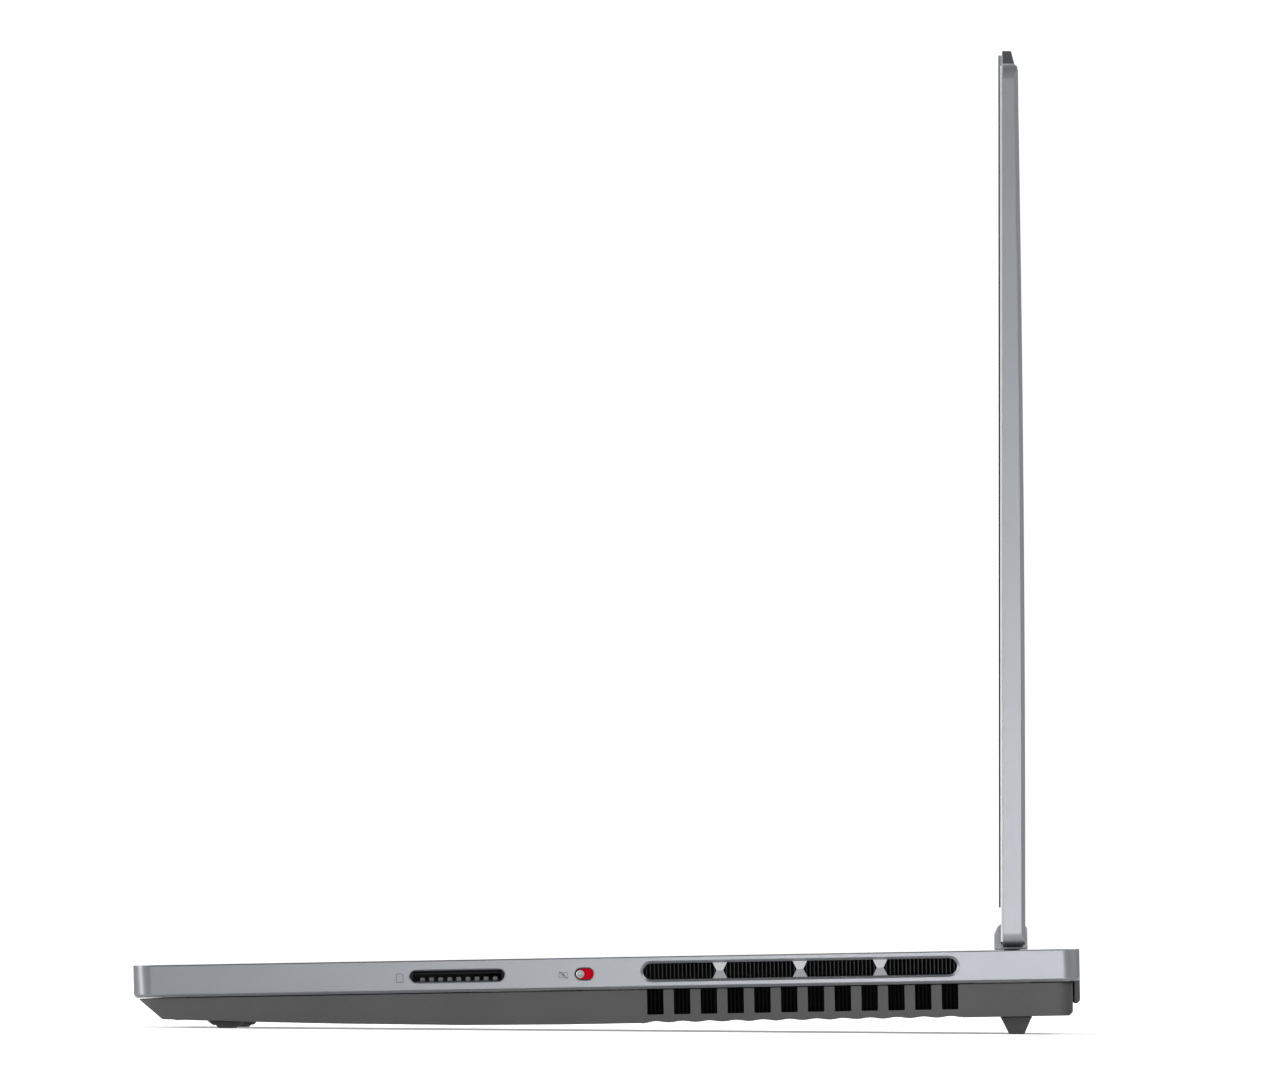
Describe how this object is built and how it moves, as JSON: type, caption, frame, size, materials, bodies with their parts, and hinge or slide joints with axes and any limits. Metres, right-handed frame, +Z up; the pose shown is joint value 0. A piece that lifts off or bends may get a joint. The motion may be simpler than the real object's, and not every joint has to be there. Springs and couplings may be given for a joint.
{
  "type": "laptop computer",
  "caption": "Open laptop computer with a metal case, dark underside, side vents, full keyboard, spinning fans and a lid that turns on two hinges.",
  "frame": {"origin": "centre of the footprint of the whole object, on the surface it stands on", "axes": "+X to the user's right, +Y to the rear, +Z up"},
  "size_m": [0.3596, 0.2606, 0.2731],
  "materials": {
    "case_metal": "bead-blasted anodised, satin grey",
    "dark_cover": "fine-textured moulded plastic",
    "foot_rubber": "matt",
    "sheet_steel": "stamped",
    "touchpad_glass": "etched satin",
    "button_metal": "satin",
    "circuit_board": "solder mask",
    "battery_wrap": "wrapped film",
    "black_plastic": "fine texture",
    "fan_plastic": "smooth",
    "fin_metal": "dark anodised fins",
    "pipe_copper": "bare copper",
    "socket_metal": "plated",
    "switch_plastic": "red field behind the slider",
    "slider_metal": "silver",
    "hinge_cap_paint": "satin grey",
    "bezel_plastic": "fine texture",
    "gasket_rubber": "matt",
    "screen_glass": "anti-glare dark screen",
    "camera_glass": "lens",
    "key_plastic": "satin"
  },
  "bodies": {
    "base": {"top_case": "case_metal", "port_panel": "case_metal", "bottom_cover": "dark_cover", "front_foot_right": "foot_rubber", "front_foot_left": "foot_rubber", "rear_foot": "foot_rubber", "keyboard_plate": "sheet_steel", "mainboard": "circuit_board", "battery_pack": "battery_wrap", "memory_module": "circuit_board", "storage_module": "circuit_board", "wireless_card": "circuit_board", "speaker_right": "black_plastic", "speaker_left": "black_plastic", "fan_housing_right": "black_plastic", "fan_housing_left": "black_plastic", "side_heat_sink_right": "fin_metal", "side_heat_sink_left": "fin_metal", "rear_heat_sink_right": "fin_metal", "rear_heat_sink_left": "fin_metal", "thermal_module": "pipe_copper", "card_reader": "socket_metal", "shutter_switch": "switch_plastic", "usb_c_port_front": "socket_metal", "usb_c_port_rear": "socket_metal", "audio_jack": "black_plastic", "ethernet_port": "black_plastic", "usb_a_port_left": "socket_metal", "hdmi_port": "socket_metal", "usb_a_port_right": "socket_metal", "power_inlet": "black_plastic", "hinge_bracket_right": "sheet_steel", "hinge_bracket_left": "sheet_steel", "hinge_cap_right": "hinge_cap_paint", "hinge_cap_left": "hinge_cap_paint"},
    "lid": {"lid_back_cover": "case_metal", "display_bezel": "bezel_plastic", "bezel_gasket": "gasket_rubber", "display_panel": "screen_glass", "camera_module": "camera_glass", "hinge_arm_right": "sheet_steel", "hinge_arm_left": "sheet_steel"},
    "fan_rotor_right": {"fan_rotor_right": "fan_plastic"},
    "fan_rotor_left": {"fan_rotor_left": "fan_plastic"},
    "touchpad": {"touchpad": "touchpad_glass"},
    "power_button": {"power_button": "button_metal"},
    "shutter_slider": {"shutter_slider": "slider_metal"},
    "keys_function_row": {"keys_function_row": "key_plastic"},
    "keys_number_row": {"keys_number_row": "key_plastic"},
    "keys_upper_row": {"keys_upper_row": "key_plastic"},
    "keys_home_row": {"keys_home_row": "key_plastic"},
    "keys_lower_row": {"keys_lower_row": "key_plastic"},
    "keys_bottom_row_left": {"keys_bottom_row_left": "key_plastic"},
    "keys_bottom_row_right": {"keys_bottom_row_right": "key_plastic"},
    "keys_number_pad": {"keys_number_pad": "key_plastic"},
    "key_space": {"key_space": "key_plastic"},
    "key_arrow_up": {"key_arrow_up": "key_plastic"},
    "key_arrow_left": {"key_arrow_left": "key_plastic"},
    "key_arrow_down": {"key_arrow_down": "key_plastic"},
    "key_arrow_right": {"key_arrow_right": "key_plastic"}
  },
  "joints": [
    {"name": "lid_hinge", "type": "hinge", "parent": "base", "child": "lid", "pos_m": [0, 0.11134, 0.02707], "axis": [1, 0, 0], "range_deg": [-45, 90.9]},
    {"name": "fan_spin_right", "type": "hinge", "parent": "base", "child": "fan_rotor_right", "pos_m": [0.118, 0.05597, 0.00926], "axis": [0, -0.0253, 0.9997], "continuous": true},
    {"name": "fan_spin_left", "type": "hinge", "parent": "base", "child": "fan_rotor_left", "pos_m": [-0.118, 0.05597, 0.00926], "axis": [0, -0.0253, 0.9997], "continuous": true},
    {"name": "touchpad_click", "type": "hinge", "parent": "base", "child": "touchpad", "pos_m": [0, -0.0393, 0.01875], "axis": [1, 0, 0], "range_deg": [0, 0.25], "stiffness_Nm_per_rad": 30, "springref_deg": -0.05},
    {"name": "power_button_press", "type": "slide", "parent": "base", "child": "power_button", "axis": [0, 0.0253, -0.9997], "range_m": [0, 0.0004], "stiffness_N_per_m": 1500, "springref_m": -0.0003},
    {"name": "shutter_slide", "type": "slide", "parent": "base", "child": "shutter_slider", "axis": [0, 0.9997, 0.0253], "range_m": [0, 0.0022]},
    {"name": "press_function_row", "type": "slide", "parent": "base", "child": "keys_function_row", "axis": [0, 0.0253, -0.9997], "range_m": [0, 0.0013], "stiffness_N_per_m": 400, "springref_m": -0.0007},
    {"name": "press_number_row", "type": "slide", "parent": "base", "child": "keys_number_row", "axis": [0, 0.0253, -0.9997], "range_m": [0, 0.0013], "stiffness_N_per_m": 400, "springref_m": -0.0007},
    {"name": "press_upper_row", "type": "slide", "parent": "base", "child": "keys_upper_row", "axis": [0, 0.0253, -0.9997], "range_m": [0, 0.0013], "stiffness_N_per_m": 400, "springref_m": -0.0007},
    {"name": "press_home_row", "type": "slide", "parent": "base", "child": "keys_home_row", "axis": [0, 0.0253, -0.9997], "range_m": [0, 0.0013], "stiffness_N_per_m": 400, "springref_m": -0.0007},
    {"name": "press_lower_row", "type": "slide", "parent": "base", "child": "keys_lower_row", "axis": [0, 0.0253, -0.9997], "range_m": [0, 0.0013], "stiffness_N_per_m": 400, "springref_m": -0.0007},
    {"name": "press_bottom_row_left", "type": "slide", "parent": "base", "child": "keys_bottom_row_left", "axis": [0, 0.0253, -0.9997], "range_m": [0, 0.0013], "stiffness_N_per_m": 400, "springref_m": -0.0007},
    {"name": "press_bottom_row_right", "type": "slide", "parent": "base", "child": "keys_bottom_row_right", "axis": [0, 0.0253, -0.9997], "range_m": [0, 0.0013], "stiffness_N_per_m": 400, "springref_m": -0.0007},
    {"name": "press_number_pad", "type": "slide", "parent": "base", "child": "keys_number_pad", "axis": [0, 0.0253, -0.9997], "range_m": [0, 0.0013], "stiffness_N_per_m": 400, "springref_m": -0.0007},
    {"name": "press_space", "type": "slide", "parent": "base", "child": "key_space", "axis": [0, 0.0253, -0.9997], "range_m": [0, 0.0013], "stiffness_N_per_m": 400, "springref_m": -0.0007},
    {"name": "press_arrow_up", "type": "slide", "parent": "base", "child": "key_arrow_up", "axis": [0, 0.0253, -0.9997], "range_m": [0, 0.0013], "stiffness_N_per_m": 400, "springref_m": -0.0007},
    {"name": "press_arrow_left", "type": "slide", "parent": "base", "child": "key_arrow_left", "axis": [0, 0.0253, -0.9997], "range_m": [0, 0.0013], "stiffness_N_per_m": 400, "springref_m": -0.0007},
    {"name": "press_arrow_down", "type": "slide", "parent": "base", "child": "key_arrow_down", "axis": [0, 0.0253, -0.9997], "range_m": [0, 0.0013], "stiffness_N_per_m": 400, "springref_m": -0.0007},
    {"name": "press_arrow_right", "type": "slide", "parent": "base", "child": "key_arrow_right", "axis": [0, 0.0253, -0.9997], "range_m": [0, 0.0013], "stiffness_N_per_m": 400, "springref_m": -0.0007}
  ]
}
